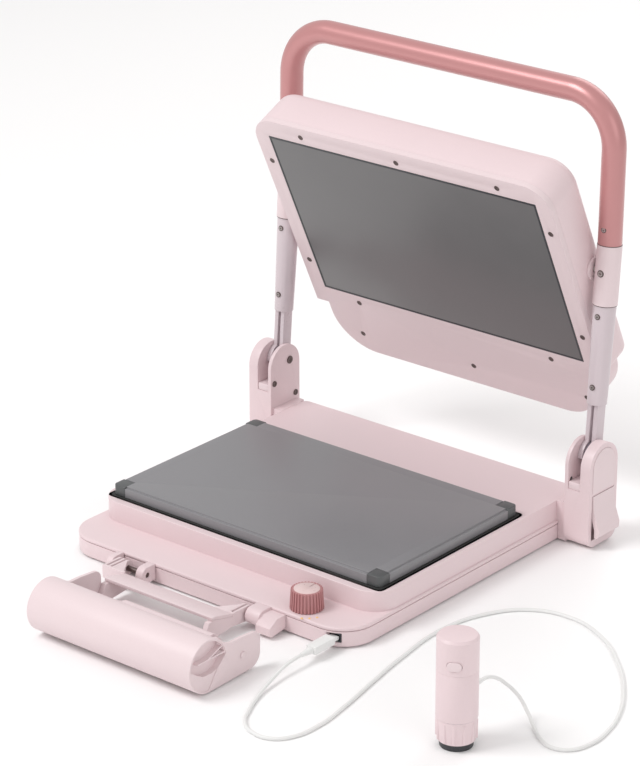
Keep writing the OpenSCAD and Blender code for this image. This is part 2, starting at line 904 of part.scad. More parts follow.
// A smooth line through the cord's route, with a point about every three and a half diameters
function route_at(i) = cord_route[max(0, min(len(cord_route) - 1, i))];
function blend(a, b, c, d, t) = 0.5 * (2 * b + (c - a) * t + (2 * a - 5 * b + 4 * c - d) * t * t
    + (3 * b - a - 3 * c + d) * t * t * t);
function raised(p) = [p[0], p[1], max(p[2], floor_z)];
cord_line = [
    for (i = [0:len(cord_route) - 2])
        let(n = max(1, round(norm(route_at(i + 1) - route_at(i)) / (3.5 * cord_d))))
            for (k = [0:n - 1])
                raised(blend(route_at(i - 1), route_at(i), route_at(i + 1), route_at(i + 2), k / n)),
    route_at(len(cord_route) - 1)
];

// A ring of eight points around each point of that line
function unit(v) = v / norm(v);
function along(i) = i == 0 ? [0, 1, 0] : i == len(cord_line) - 1 ? [0, 1, 0]
    : unit(cord_line[i + 1] - cord_line[i - 1]);
function across(t) = unit(cross(t, [0, 0, 1]));
function ring(i) = let(t = along(i), u = across(t), w = cross(u, t))
    [for (k = [0:7]) cord_line[i] + cord_r * (cos(45 * k + 22.5) * u + sin(45 * k + 22.5) * w)];

module tool_cord() {
    count = len(cord_line);
    points = [for (i = [0:count - 1]) each ring(i)];
    sides = [for (i = [0:count - 2], k = [0:7])
        [8 * i + k, 8 * i + (k + 1) % 8, 8 * (i + 1) + (k + 1) % 8, 8 * (i + 1) + k]];
    ends = [[for (k = [7:-1:0]) k], [for (k = [0:7]) 8 * (count - 1) + k]];
    color(white) place() polyhedron(points, concat(sides, ends), convexity = 6);
}

module plug_boot() {
    color(white) place() translate([socket_x, -92, socket_z]) rotate([-90, 0, 0])
        cylinder(r1 = 2, r2 = 3.4, h = 12);
}

module tool_plug() {
    color(white) place() translate([socket_x, 0, socket_z]) {
        translate([-5.2, -80, -3.4]) cube([10.4, 25.5, 6.8]);
        translate([-4.2, -54.5, -1.6]) cube([8.4, 13, 3.2]);
    }
}

base_pan();
base_cover();
rubber_feet();
base_screws();
platen_gasket();
lower_platen();
platen_corners();
lower_heater();
control_board();
knob_spindle();
temperature_knob();
tool_socket();
power_inlet();
inlet_pins();
left_tower();
right_tower();
left_stop_block();
right_stop_block();
left_side_cover();
right_side_cover();
release_paddle();
paddle_pin();
arm_pivot_pins();
tower_screws();
left_arm();
right_arm();
left_cam();
right_cam();
left_sleeve();
right_sleeve();
arm_screws();
handle_tube();
head_cover();
head_bezel();
upper_gasket();
upper_platen();
upper_heater();
bezel_screws();
pivot_bosses();
head_pins();
tray_brackets();
tray_hinge_pins();
roll_tray();
tray_bridge();
tray_arms();
roll_core();
roll_plugs();
tool_tip();
tool_collar();
tool_body();
tool_cap();
tool_button();
tool_motor();
tool_boot();
tool_cord();
plug_boot();
tool_plug();
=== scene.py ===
"""The looks of a clamshell craft press with a lever handle, a roll tray and a corded tool.

Each sub-assembly is a class. It takes its CAD nodes, gives their mouldings soft edges, adds
the small pieces that sit on them, and dresses everything in procedural finishes.
"""

import logging
import math
from dataclasses import dataclass
from enum import Enum
from typing import Callable

import bpy
from mathutils import Matrix, Vector


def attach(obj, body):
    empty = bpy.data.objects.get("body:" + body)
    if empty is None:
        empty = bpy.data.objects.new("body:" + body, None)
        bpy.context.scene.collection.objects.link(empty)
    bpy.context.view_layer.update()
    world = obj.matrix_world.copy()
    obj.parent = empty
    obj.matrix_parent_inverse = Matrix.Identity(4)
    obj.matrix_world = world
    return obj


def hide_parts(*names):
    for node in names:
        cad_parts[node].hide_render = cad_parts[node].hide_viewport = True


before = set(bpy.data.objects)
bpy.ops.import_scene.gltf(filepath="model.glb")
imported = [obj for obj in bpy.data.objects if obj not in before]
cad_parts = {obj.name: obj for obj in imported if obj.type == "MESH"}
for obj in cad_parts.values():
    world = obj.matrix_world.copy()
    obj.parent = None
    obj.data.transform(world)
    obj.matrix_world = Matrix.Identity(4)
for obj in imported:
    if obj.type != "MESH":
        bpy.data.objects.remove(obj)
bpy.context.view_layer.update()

log = logging.getLogger("press")

# The shared origin, in machine millimetres
ORIGIN_X = 71.2
ORIGIN_Y = 81.082
# X and Y of the knob's middle, and Y and Z of the arms' pivots
KNOB_PLACE = (103.0, -36.0)
ARM_PIVOT = (266.5, 81.0)


def mm(x: float, y: float, z: float) -> Vector:
    """Turns millimetres into a vector in metres."""
    return Vector((x / 1000, y / 1000, z / 1000))


def at(x: float, y: float, z: float) -> Vector:
    """Turns machine millimetres into shared-frame metres.

    Args:
        x: millimetres to the right of the machine's middle.
        y: millimetres behind the lower platen's front edge.
        z: millimetres above the table.

    Returns:
        The same point in metres from the shared origin.
    """
    return mm(x - ORIGIN_X, y - ORIGIN_Y, z)


# ------------------------------------------------------------------ node groups


def new_group(
    name: str, inputs: dict[str, tuple]
) -> tuple[bpy.types.NodeTree, bpy.types.Node]:
    """Starts a shader node group that gives a colour, a roughness and a normal.

    Args:
        name: the group's name.
        inputs: socket name to (socket type, default value).

    Returns:
        The node tree and its input node.
    """
    tree = bpy.data.node_groups.new(name, "ShaderNodeTree")
    for label, (kind, value) in inputs.items():
        socket = tree.interface.new_socket(label, in_out="INPUT", socket_type=kind)
        socket.default_value = value
    for label, kind in (("Color", "Color"), ("Roughness", "Float"), ("Normal", "Vector")):
        tree.interface.new_socket(label, in_out="OUTPUT", socket_type=f"NodeSocket{kind}")
    source = tree.nodes.new("NodeGroupInput")
    tree.nodes.new("NodeGroupOutput")
    return tree, source


def math_node(tree: bpy.types.NodeTree, operation: str, a: object, b: object) -> object:
    """Adds one Math node.

    Args:
        tree: the node tree it goes into.
        operation: the Math node's operation.
        a: the first input, a socket or a number.
        b: the second input, a socket or a number.

    Returns:
        The output socket.
    """
    node = tree.nodes.new("ShaderNodeMath")
    node.operation = operation
    for slot, value in zip(node.inputs, (a, b)):
        if isinstance(value, bpy.types.NodeSocket):
            tree.links.new(value, slot)
        else:
            slot.default_value = value
    return node.outputs[0]


def noise(tree: bpy.types.NodeTree, vector: object, scale: object, detail: float) -> object:
    """Adds one Noise Texture.

    Args:
        tree: the node tree it goes into.
        vector: the socket with the coordinates.
        scale: the socket or the number of the noise's scale.
        detail: octaves of detail.

    Returns:
        The noise's value socket.
    """
    node = tree.nodes.new("ShaderNodeTexNoise")
    tree.links.new(vector, node.inputs["Vector"])
    if isinstance(scale, bpy.types.NodeSocket):
        tree.links.new(scale, node.inputs["Scale"])
    else:
        node.inputs["Scale"].default_value = scale
    node.inputs["Detail"].default_value = detail
    return node.outputs[0]


def sway(tree: bpy.types.NodeTree, value: object, amount: object) -> object:
    """Turns a noise value around 0.5 into a change around 0.

    Args:
        tree: the node tree it goes into.
        value: the noise's value socket.
        amount: how much it changes, a socket or a number.

    Returns:
        The socket of the change.
    """
    return math_node(tree, "MULTIPLY", math_node(tree, "SUBTRACT", value, 0.5), amount)


def wire_outputs(
    tree: bpy.types.NodeTree,
    value: object,
    rough: object,
    height: object,
    distance: float,
) -> None:
    """Ends a group: tints its colour, and adds its bump.

    Args:
        tree: the group's node tree, with its input and output nodes.
        value: the socket that the tint's brightness is multiplied by.
        rough: the socket of its roughness.
        height: the socket that the bump follows.
        distance: the bump's height in metres.
    """
    source = tree.nodes["Group Input"]
    sink = tree.nodes["Group Output"]
    shade = tree.nodes.new("ShaderNodeHueSaturation")
    tree.links.new(source.outputs["Tint"], shade.inputs["Color"])
    tree.links.new(value, shade.inputs["Value"])
    bump = tree.nodes.new("ShaderNodeBump")
    bump.inputs["Distance"].default_value = distance
    tree.links.new(height, bump.inputs["Height"])
    tree.links.new(source.outputs["Depth"], bump.inputs["Strength"])
    tree.links.new(shade.outputs["Color"], sink.inputs["Color"])
    tree.links.new(rough, sink.inputs["Roughness"])
    tree.links.new(bump.outputs["Normal"], sink.inputs["Normal"])


def moulded_group() -> None:
    """Makes the surface shared by every moulding: faint mottling, haze and fine grain."""
    tree, source = new_group(
        "moulded_surface",
        {
            "Vector": ("NodeSocketVector", (0, 0, 0)),
            "Tint": ("NodeSocketColor", (1, 1, 1, 1)),
            "Mottle": ("NodeSocketFloat", 0.03),
            "Haze": ("NodeSocketFloat", 0.4),
            "Grain": ("NodeSocketFloat", 2200.0),
            "Depth": ("NodeSocketFloat", 0.15),
        },
    )
    vector = source.outputs["Vector"]
    broad = noise(tree, vector, 14.0, 3.0)
    grain = noise(tree, vector, source.outputs["Grain"], 2.0)
    specks = noise(tree, vector, 420.0, 4.0)
    # colour: broad cloudiness plus a trace of fine speckle
    cloud = sway(tree, broad, source.outputs["Mottle"])
    speck = sway(tree, specks, source.outputs["Mottle"])
    value = math_node(tree, "ADD", math_node(tree, "ADD", cloud, speck), 1.0)
    # roughness: the haze, broken up a little
    change = math_node(tree, "ADD", sway(tree, broad, 0.16), sway(tree, specks, 0.10))
    rough = math_node(tree, "ADD", source.outputs["Haze"], change)
    wire_outputs(tree, value, rough, grain, 0.00012)


def brushed_group() -> None:
    """Makes the surface shared by bare and coated metal: long fine scratches along one way."""
    tree, source = new_group(
        "brushed_surface",
        {
            "Vector": ("NodeSocketVector", (0, 0, 0)),
            "Tint": ("NodeSocketColor", (1, 1, 1, 1)),
            "Haze": ("NodeSocketFloat", 0.35),
            "Streak": ("NodeSocketFloat", 0.1),
            "Depth": ("NodeSocketFloat", 0.1),
        },
    )
    stretch = tree.nodes.new("ShaderNodeMapping")
    stretch.inputs["Scale"].default_value = (0.02, 1.0, 1.0)
    tree.links.new(source.outputs["Vector"], stretch.inputs["Vector"])
    lines = noise(tree, stretch.outputs["Vector"], 1800.0, 3.0)
    broad = noise(tree, source.outputs["Vector"], 22.0, 3.0)
    wander = sway(tree, lines, source.outputs["Streak"])
    change = math_node(tree, "ADD", wander, sway(tree, broad, 0.08))
    value = math_node(tree, "ADD", 1.0, change)
    rough = math_node(tree, "ADD", source.outputs["Haze"], change)
    wire_outputs(tree, value, rough, lines, 0.00005)


class Surface(Enum):
    """The kinds of surface that a finish can have."""

    MOULDED = "moulded_surface"
    BRUSHED = "brushed_surface"


@dataclass(frozen=True)
class Finish:
    """One finish: its colour and how its surface behaves.

    Attributes:
        name: the material's name.
        slot: the slot that its pieces name; not used here.
        tint: its linear colour.
        haze: its roughness before it varies.
        surface: the kind of surface.
        metallic: how metallic it is.
        mottle: how much a moulding's colour varies.
        grain: how fine a moulding's grain is.
        depth: how strong the bump is.
        streak: how much a brushed surface varies along its scratches.
        coat: the clear coat's weight.
        glow: the strength of its own light.
    """

    name: str
    slot: str
    tint: tuple[float, float, float]
    haze: float = 0.42
    surface: Surface = Surface.MOULDED
    metallic: float = 0.0
    mottle: float = 0.03
    grain: float = 2200.0
    depth: float = 0.15
    streak: float = 0.1
    coat: float = 0.0
    glow: float = 0.0

    def build(self) -> bpy.types.Material:
        """Builds the material of this finish.

        Returns:
            A node material that reads Object coordinates.
        """
        material = bpy.data.materials.new(self.name)
        material.use_nodes = True
        material.diffuse_color = (*self.tint, 1)
        tree = material.node_tree
        shader = tree.nodes["Principled BSDF"]
        coords = tree.nodes.new("ShaderNodeTexCoord")
        group = tree.nodes.new("ShaderNodeGroup")
        group.node_tree = bpy.data.node_groups[self.surface.value]
        tree.links.new(coords.outputs["Object"], group.inputs["Vector"])
        group.inputs["Tint"].default_value = (*self.tint, 1)
        group.inputs["Haze"].default_value = self.haze
        group.inputs["Depth"].default_value = self.depth
        if self.surface is Surface.MOULDED:
            group.inputs["Mottle"].default_value = self.mottle
            group.inputs["Grain"].default_value = self.grain
        else:
            group.inputs["Streak"].default_value = self.streak
        tree.links.new(group.outputs["Color"], shader.inputs["Base Color"])
        tree.links.new(group.outputs["Roughness"], shader.inputs["Roughness"])
        tree.links.new(group.outputs["Normal"], shader.inputs["Normal"])
        shader.inputs["Metallic"].default_value = self.metallic
        shader.inputs["Coat Weight"].default_value = self.coat
        shader.inputs["Coat Roughness"].default_value = 0.25
        if self.glow:
            tree.links.new(group.outputs["Color"], shader.inputs["Emission Color"])
            shader.inputs["Emission Strength"].default_value = self.glow
        return material


class Look(Enum):
    """Every finish on the machine."""

    HOUSING = Finish("blush_housing", "housing", (0.785, 0.635, 0.655), haze=0.40, mottle=0.035)
    PALE = Finish(
        "pale_blush_housing", "pale_housing", (0.79, 0.655, 0.672),
        haze=0.44, mottle=0.03,
    )
    ARM = Finish(
        "painted_arm", "pale_metal", (0.64, 0.55, 0.58),
        haze=0.30, mottle=0.03, depth=0.08, coat=0.2,
    )
    ROSE = Finish(
        "rose_tube", "rose_metal", (0.56, 0.255, 0.255),
        haze=0.33, mottle=0.02, depth=0.015, metallic=0.30, coat=0.35,
    )
    KNOB = Finish(
        "rose_knob", "rose_plastic", (0.50, 0.23, 0.235),
        haze=0.34, mottle=0.05, depth=0.12,
    )
    PLATEN = Finish(
        "coated_platen", "platen_grey", (0.245, 0.240, 0.252),
        haze=0.36, mottle=0.10, grain=3600.0, depth=0.25,
    )
    UPPER = Finish(
        "coated_upper_platen", "upper_platen_grey", (0.150, 0.146, 0.148),
        haze=0.32, surface=Surface.BRUSHED, streak=0.04, depth=0.05,
    )
    # the cams' nylon; the hand tool's joint bands also wear it, as painted shade
    CAM = Finish("nylon_cam", "cam_plastic", (0.16, 0.13, 0.16), haze=0.40)
    DARK = Finish("dark_moulding", "dark_plastic", (0.035, 0.037, 0.042), haze=0.45, mottle=0.12)
    CLIP = Finish("corner_clip", "dark_plastic", (0.095, 0.100, 0.102), haze=0.36, mottle=0.10)
    RUBBER = Finish(
        "soft_rubber", "rubber", (0.022, 0.022, 0.022),
        haze=0.70, mottle=0.15, grain=1500.0, depth=0.4,
    )
    STEEL = Finish(
        "screw_steel", "steel", (0.45, 0.41, 0.40),
        haze=0.30, surface=Surface.BRUSHED, metallic=0.95, streak=0.15, depth=0.2,
    )
    # dark steel of the screws and pins; the arms' screw rings and joint bands also wear it, as
    # painted shade
    SCREW = Finish(
        "dark_screw", "steel", (0.13, 0.095, 0.09),
        haze=0.38, surface=Surface.BRUSHED, metallic=0.5, streak=0.15, depth=0.2,
    )
    # the knob's own plastic made lighter and coated: a painted highlight on its top
    KNOB_TOP = Finish(
        "rose_knob_top_highlight", "rose_plastic", (0.80, 0.61, 0.60),
        haze=0.28, mottle=0.03, depth=0.06, coat=0.3,
    )
    WHITE = Finish("white_moulding", "white_plastic", (0.83, 0.83, 0.82), haze=0.35, mottle=0.02)
    CORD = Finish(
        "white_jacket", "white_cord", (0.82, 0.82, 0.81),
        haze=0.42, mottle=0.03, grain=900.0, depth=0.2,
    )
    BOARD = Finish("lacquered_board", "circuit_board", (0.03, 0.16, 0.08), haze=0.30, mottle=0.25)
    FILM = Finish("heater_film", "heater_film", (0.40, 0.20, 0.06), haze=0.35, mottle=0.2)
    MARK = Finish("amber_marks", "housing", (0.85, 0.55, 0.20), haze=0.35, mottle=0.05, glow=0.15)


MATERIALS: dict[Look, bpy.types.Material] = {}


def paint(piece: bpy.types.Object, look: Look) -> None:
    """Gives a piece one finish all over.

    Args:
        piece: the object to dress.
        look: the finish.
    """
    if look not in MATERIALS:
        MATERIALS[look] = look.value.build()
    if not piece.data.materials:
        piece.data.materials.append(MATERIALS[look])
    for index in range(len(piece.data.materials)):
        piece.data.materials[index] = MATERIALS[look]


# ------------------------------------------------------------------ modelling helpers


def pick(piece: bpy.types.Object) -> None:
    """Selects one piece and nothing else, and makes it active.

    Args:
        piece: the piece to select.
    """
    bpy.ops.object.select_all(action="DESELECT")
    piece.select_set(True)
    bpy.context.view_layer.objects.active = piece


def edit(piece: bpy.types.Object, mode: str) -> None:
    """Opens a piece in edit mode and keeps what is selected in it.

    Args:
        piece: the piece to edit.
        mode: VERT, EDGE or FACE.
    """
    pick(piece)
    bpy.ops.object.mode_set(mode="EDIT")
    bpy.ops.mesh.select_mode(type=mode)


def done() -> None:
    """Leaves edit mode."""
    bpy.ops.object.mode_set(mode="OBJECT")


def choose_faces(piece: bpy.types.Object, test: Callable[[Vector], bool]) -> None:
    """Selects, in object mode, the faces whose normal passes a test.

    Args:
        piece: the piece, in object mode.
        test: takes the face's normal.
    """
    mesh = piece.data
    for part in (*mesh.vertices, *mesh.edges):
        part.select = False
    for face in mesh.polygons:
        face.select = test(face.normal)


def round_edges(
    piece: bpy.types.Object,
    test: Callable[[Vector, Vector], bool],
    radius: float,
    segments: int,
) -> None:
    """Rounds the edges whose two ends pass a test.

    Args:
        piece: the piece, in object mode.
        test: takes the edge's two ends.
        radius: the rounding's radius in millimetres.
        segments: how many faces each rounding has.
    """
    mesh = piece.data
    for part in (*mesh.polygons, *mesh.vertices):
        part.select = False
    for edge in mesh.edges:
        a, b = (mesh.vertices[i].co for i in edge.vertices)
        edge.select = test(a, b)
    edit(piece, "EDGE")
    bpy.ops.mesh.bevel(offset=radius / 1000, segments=segments, affect="EDGES")
    done()


def finish_modifier(piece: bpy.types.Object, kind: str, **settings: object) -> None:
    """Adds a modifier, sets it and applies it.

    Args:
        piece: the piece it works on.
        kind: the modifier's type.
        settings: its properties.
    """
    pick(piece)
    modifier = piece.modifiers.new(kind.lower(), kind)
    for key, value in settings.items():
        setattr(modifier, key, value)
    bpy.ops.object.modifier_apply(modifier=modifier.name)


def soften(piece: bpy.types.Object, width: float, segments: int = 3, angle: float = 40.0) -> None:
    """Rounds every sharp edge and shades the piece smoothly.

    Args:
        piece: the piece to round.
        width: the rounding's width in millimetres, or 0 for none.
        segments: how many faces each rounding has.
        angle: the least angle, in degrees, that counts as sharp.
    """
    if width:
        finish_modifier(
            piece,
            "BEVEL",
            width=width / 1000,
            segments=segments,
            limit_method="ANGLE",
            angle_limit=math.radians(angle),
            use_clamp_overlap=True,
            miter_outer="MITER_ARC",
        )
    pick(piece)
    bpy.ops.object.shade_smooth_by_angle(angle=math.radians(38))


def block(name: str, low: Vector, high: Vector) -> bpy.types.Object:
    """Adds a box between two corners, with its place in its mesh.

    Args:
        name: the piece's name.
        low: the lowest corner.
        high: the highest corner.

    Returns:
        The new piece.
    """
    bpy.ops.object.select_all(action="DESELECT")
    bpy.ops.mesh.primitive_cube_add(size=1, location=(low + high) / 2)
    piece = bpy.context.object
    piece.name = name
    piece.scale = high - low
    bpy.ops.object.transform_apply(location=True, rotation=True, scale=True)
    return piece


def slab(name: str, low: Vector, high: Vector, front: float, back: float) -> bpy.types.Object:
    """Models a slab with round upright corners.

    Args:
        name: the piece's name.
        low: the lowest corner.
        high: the highest corner.
        front: radius of the two corners at its low Y, in millimetres.
        back: radius of the two corners at its high Y, in millimetres.

    Returns:
        The slab.
    """
    piece = block(name, low, high)
    for radius, y in ((front, low.y), (back, high.y)):

        def corner(a: Vector, b: Vector) -> bool:
            """Tells the upright edges of one end from the others."""
            upright = abs(a.z - b.z) > 0.001 and abs(a.y - y) < 1e-5 and abs(b.y - y) < 1e-5
            return upright and min(abs(a.x - low.x), abs(a.x - high.x)) < 1e-5

        round_edges(piece, corner, radius, 18)
    return piece


def drum(
    name: str, middle: Vector, radius: float, height: float, sides: int
) -> bpy.types.Object:
    """Adds an upright cylinder, with its place in its mesh.

    Args:
        name: the piece's name.
        middle: the middle of its foot.
        radius: its radius in millimetres.
        height: its height in millimetres.
        sides: how many sides it has.

    Returns:
        The new piece.
    """
    bpy.ops.object.select_all(action="DESELECT")
    bpy.ops.mesh.primitive_cylinder_add(
        vertices=sides,
        radius=radius / 1000,
        depth=height / 1000,
        location=middle + mm(0, 0, height / 2),
    )
    piece = bpy.context.object
    piece.name = name
    bpy.ops.object.transform_apply(location=True, rotation=True, scale=True)
    return piece


def carve(piece: bpy.types.Object, tool: bpy.types.Object, how: str = "DIFFERENCE") -> None:
    """Cuts or joins a piece with a tool piece, which is used up.

    Args:
        piece: the piece that stays.
        tool: the piece that is taken away or added.
        how: the Boolean modifier's operation.
    """
    finish_modifier(piece, "BOOLEAN", object=tool, operation=how, solver="EXACT")
    bpy.data.objects.remove(tool, do_unlink=True)


def join(pieces: list[bpy.types.Object], name: str) -> bpy.types.Object:
    """Joins pieces into one object.

    Args:
        pieces: the objects to join.
        name: the joined object's name.

    Returns:
        The joined object.
    """
    bpy.ops.object.select_all(action="DESELECT")
    for piece in pieces:
        piece.select_set(True)
    bpy.context.view_layer.objects.active = pieces[0]
    bpy.ops.object.join()
    pieces[0].name = name
    return pieces[0]


def screw_head(name: str, radius: float, where: Matrix) -> bpy.types.Object:
    """Models a cross-recessed screw head.

    Args:
        name: the piece's name.
        radius: its radius in millimetres.
        where: the matrix that carries it from the origin, facing +Z, to its place.

    Returns:
        The screw head, with its place in its mesh.
    """
    head = drum(name, mm(0, 0, -0.6), radius, 1.4, 32)
    for across, along in ((0.15, 0.62), (0.62, 0.15)):
        x, y = across * radius, along * radius
        carve(head, block("slot", mm(-x, -y, 0.4), mm(x, y, 2)))
    soften(head, radius * 0.12, 2)
    head.data.transform(where)
    return head


@dataclass
class SubAssembly:
    """What every sub-assembly does with its CAD nodes.

    Attributes:
        body: the body that its pieces ride on.
    """

    body: str

    def place(self, piece: bpy.types.Object, look: Look, *nodes: str) -> bpy.types.Object:
        """Dresses a new piece, ties it to the body and hides the CAD nodes that it stands for.

        Args:
            piece: the new piece.
            look: its finish.
            nodes: CAD nodes that it stands for.

        Returns:
            The same piece.
        """
        paint(piece, look)
        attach(piece, self.body)
        if nodes:
            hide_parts(*nodes)
        log.info("%s rides on %s", piece.name, self.body)
        return piece

    def recast(self, node: str, look: Look, width: float, segments: int = 3) -> bpy.types.Object:
        """Recasts a CAD node as a moulding with soft edges.

        Args:
            node: the CAD node's name.
            look: the finish.
            width: the rounding of its edges, in millimetres.
            segments: how many faces each rounding has.

        Returns:
            The new piece, which stands for the node.
        """
        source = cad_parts[node]
        piece = bpy.data.objects.new(f"{node}_moulding", source.data.copy())
        bpy.context.scene.collection.objects.link(piece)
        edit(piece, "FACE")
        bpy.ops.mesh.select_all(action="SELECT")
        bpy.ops.mesh.customdata_custom_splitnormals_clear()
        bpy.ops.mesh.remove_doubles(threshold=0.000005)
        bpy.ops.mesh.dissolve_limited(angle_limit=math.radians(0.6))
        done()
        soften(piece, width, segments)
        return self.place(piece, look, node)

    def dress(self, node: str, look: Look) -> None:
        """Gives a CAD node its finish and keeps its shape."""
        paint(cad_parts[node], look)


# ------------------------------------------------------------------ studio


@dataclass(frozen=True)
class Lamp:
    """One square soft light that faces the machine's middle.

    Attributes:
        name: the light's name.
        spot: where it stands, in metres.
        power: its power in watts.
        size: the length of its side in metres.
    """

    name: str
    spot: tuple[float, float, float]
    power: float
    size: float

    def build(self, aim: Vector) -> None:
        """Adds the light.

        Args:
            aim: the point that it faces.
        """
        data = bpy.data.lights.new(self.name, "AREA")
        data.energy = self.power
        data.size = self.size
        light = bpy.data.objects.new(self.name, data)
        light.location = self.spot
        light.rotation_euler = (aim - light.location).to_track_quat("-Z", "Y").to_euler()
        bpy.context.scene.collection.objects.link(light)


@dataclass
class Studio:
    """The floor, the lights and the camera.

    Attributes:
        eye: the camera's place, in machine millimetres.
        turn: the camera's turn about the vertical, in degrees.
        dip: how far it looks down, in degrees.
        lens: its focal length in millimetres.
        sensor: its sensor's width in millimetres.
        floor_side: the length of the floor's side in metres.
        floor_tint: the floor's linear colour.
        floor_haze: the floor's roughness.
        room_tint: the linear colour of the light from all around.
        room_light: its strength.
        aim: the point that the lamps face, in metres.
        lamps: the lamps.
    """

    eye: tuple[float, float, float] = (1694.9, -1938.5, 1240.4)
    turn: float = 39.665
    dip: float = 22.281
    lens: float = 184.06
    sensor: float = 36
    floor_side: float = 30
    floor_tint: tuple[float, float, float] = (0.97, 0.965, 0.965)
    floor_haze: float = 0.55
    room_tint: tuple[float, float, float] = (1, 0.99, 0.985)
    room_light: float = 0.66
    aim: tuple[float, float, float] = (0, 0, 0.15)
    lamps: tuple[Lamp, ...] = (
        Lamp("key", (-1.0, -1.6, 2.4), 40, 1.2),
        Lamp("fill", (2.4, -0.6, 1.3), 8, 1.6),
        Lamp("back", (-0.4, 2.2, 1.8), 16, 1.8),
    )

    def camera(self) -> None:
        """Sets the camera at the viewing angle."""
        data = bpy.data.cameras.new("camera")
        data.sensor_fit = "HORIZONTAL"
        data.sensor_width = self.sensor
        data.lens = self.lens
        data.clip_end = 50
        view = bpy.data.objects.new("camera", data)
        view.location = at(*self.eye)
        view.rotation_euler = (math.radians(90 - self.dip), 0, math.radians(self.turn))
        bpy.context.scene.collection.objects.link(view)
        bpy.context.scene.camera = view

    def floor(self) -> None:
        """Lays the pale floor."""
        bpy.ops.object.select_all(action="DESELECT")
        bpy.ops.mesh.primitive_plane_add(size=self.floor_side, location=(0, 0, 0))
        floor = bpy.context.object
        floor.name = "floor"
        material = bpy.data.materials.new("pale_floor")
        material.use_nodes = True
        shader = material.node_tree.nodes["Principled BSDF"]
        shader.inputs["Base Color"].default_value = (*self.floor_tint, 1)
        shader.inputs["Roughness"].default_value = self.floor_haze
        floor.data.materials.append(material)

    def room(self) -> None:
        """Lights the room evenly and shows its colours as they are."""
        world = bpy.data.worlds.new("soft_room")
        world.use_nodes = True
        background = world.node_tree.nodes["Background"]
        background.inputs["Color"].default_value = (*self.room_tint, 1)
        background.inputs["Strength"].default_value = self.room_light
        bpy.context.scene.world = world
        bpy.context.scene.view_settings.view_transform = "Standard"

    def build(self) -> None:
        """Builds the studio."""
        self.camera()
        self.floor()
        self.room()
        for lamp in self.lamps:
            lamp.build(Vector(self.aim))


# ------------------------------------------------------------------ machine


@dataclass(frozen=True)
class Extent:
    """A room in machine millimetres, with the radii of its upright corners.

    Attributes:
        low: its lowest corner.
        high: its highest corner.
        front: radius of the two front corners, or 0 for a plain box.
        back: radius of the two back corners.
    """

    low: tuple[float, float, float]
    high: tuple[float, float, float]
    front: float = 0.0
    back: float = 0.0

    def model(self, name: str) -> bpy.types.Object:
        """Models the room.

        Args:
            name: the new piece's name.

        Returns:
            A slab where the corners are round, and a plain box otherwise.
        """
        if self.front:
            return slab(name, at(*self.low), at(*self.high), self.front, self.back)
        return block(name, at(*self.low), at(*self.high))


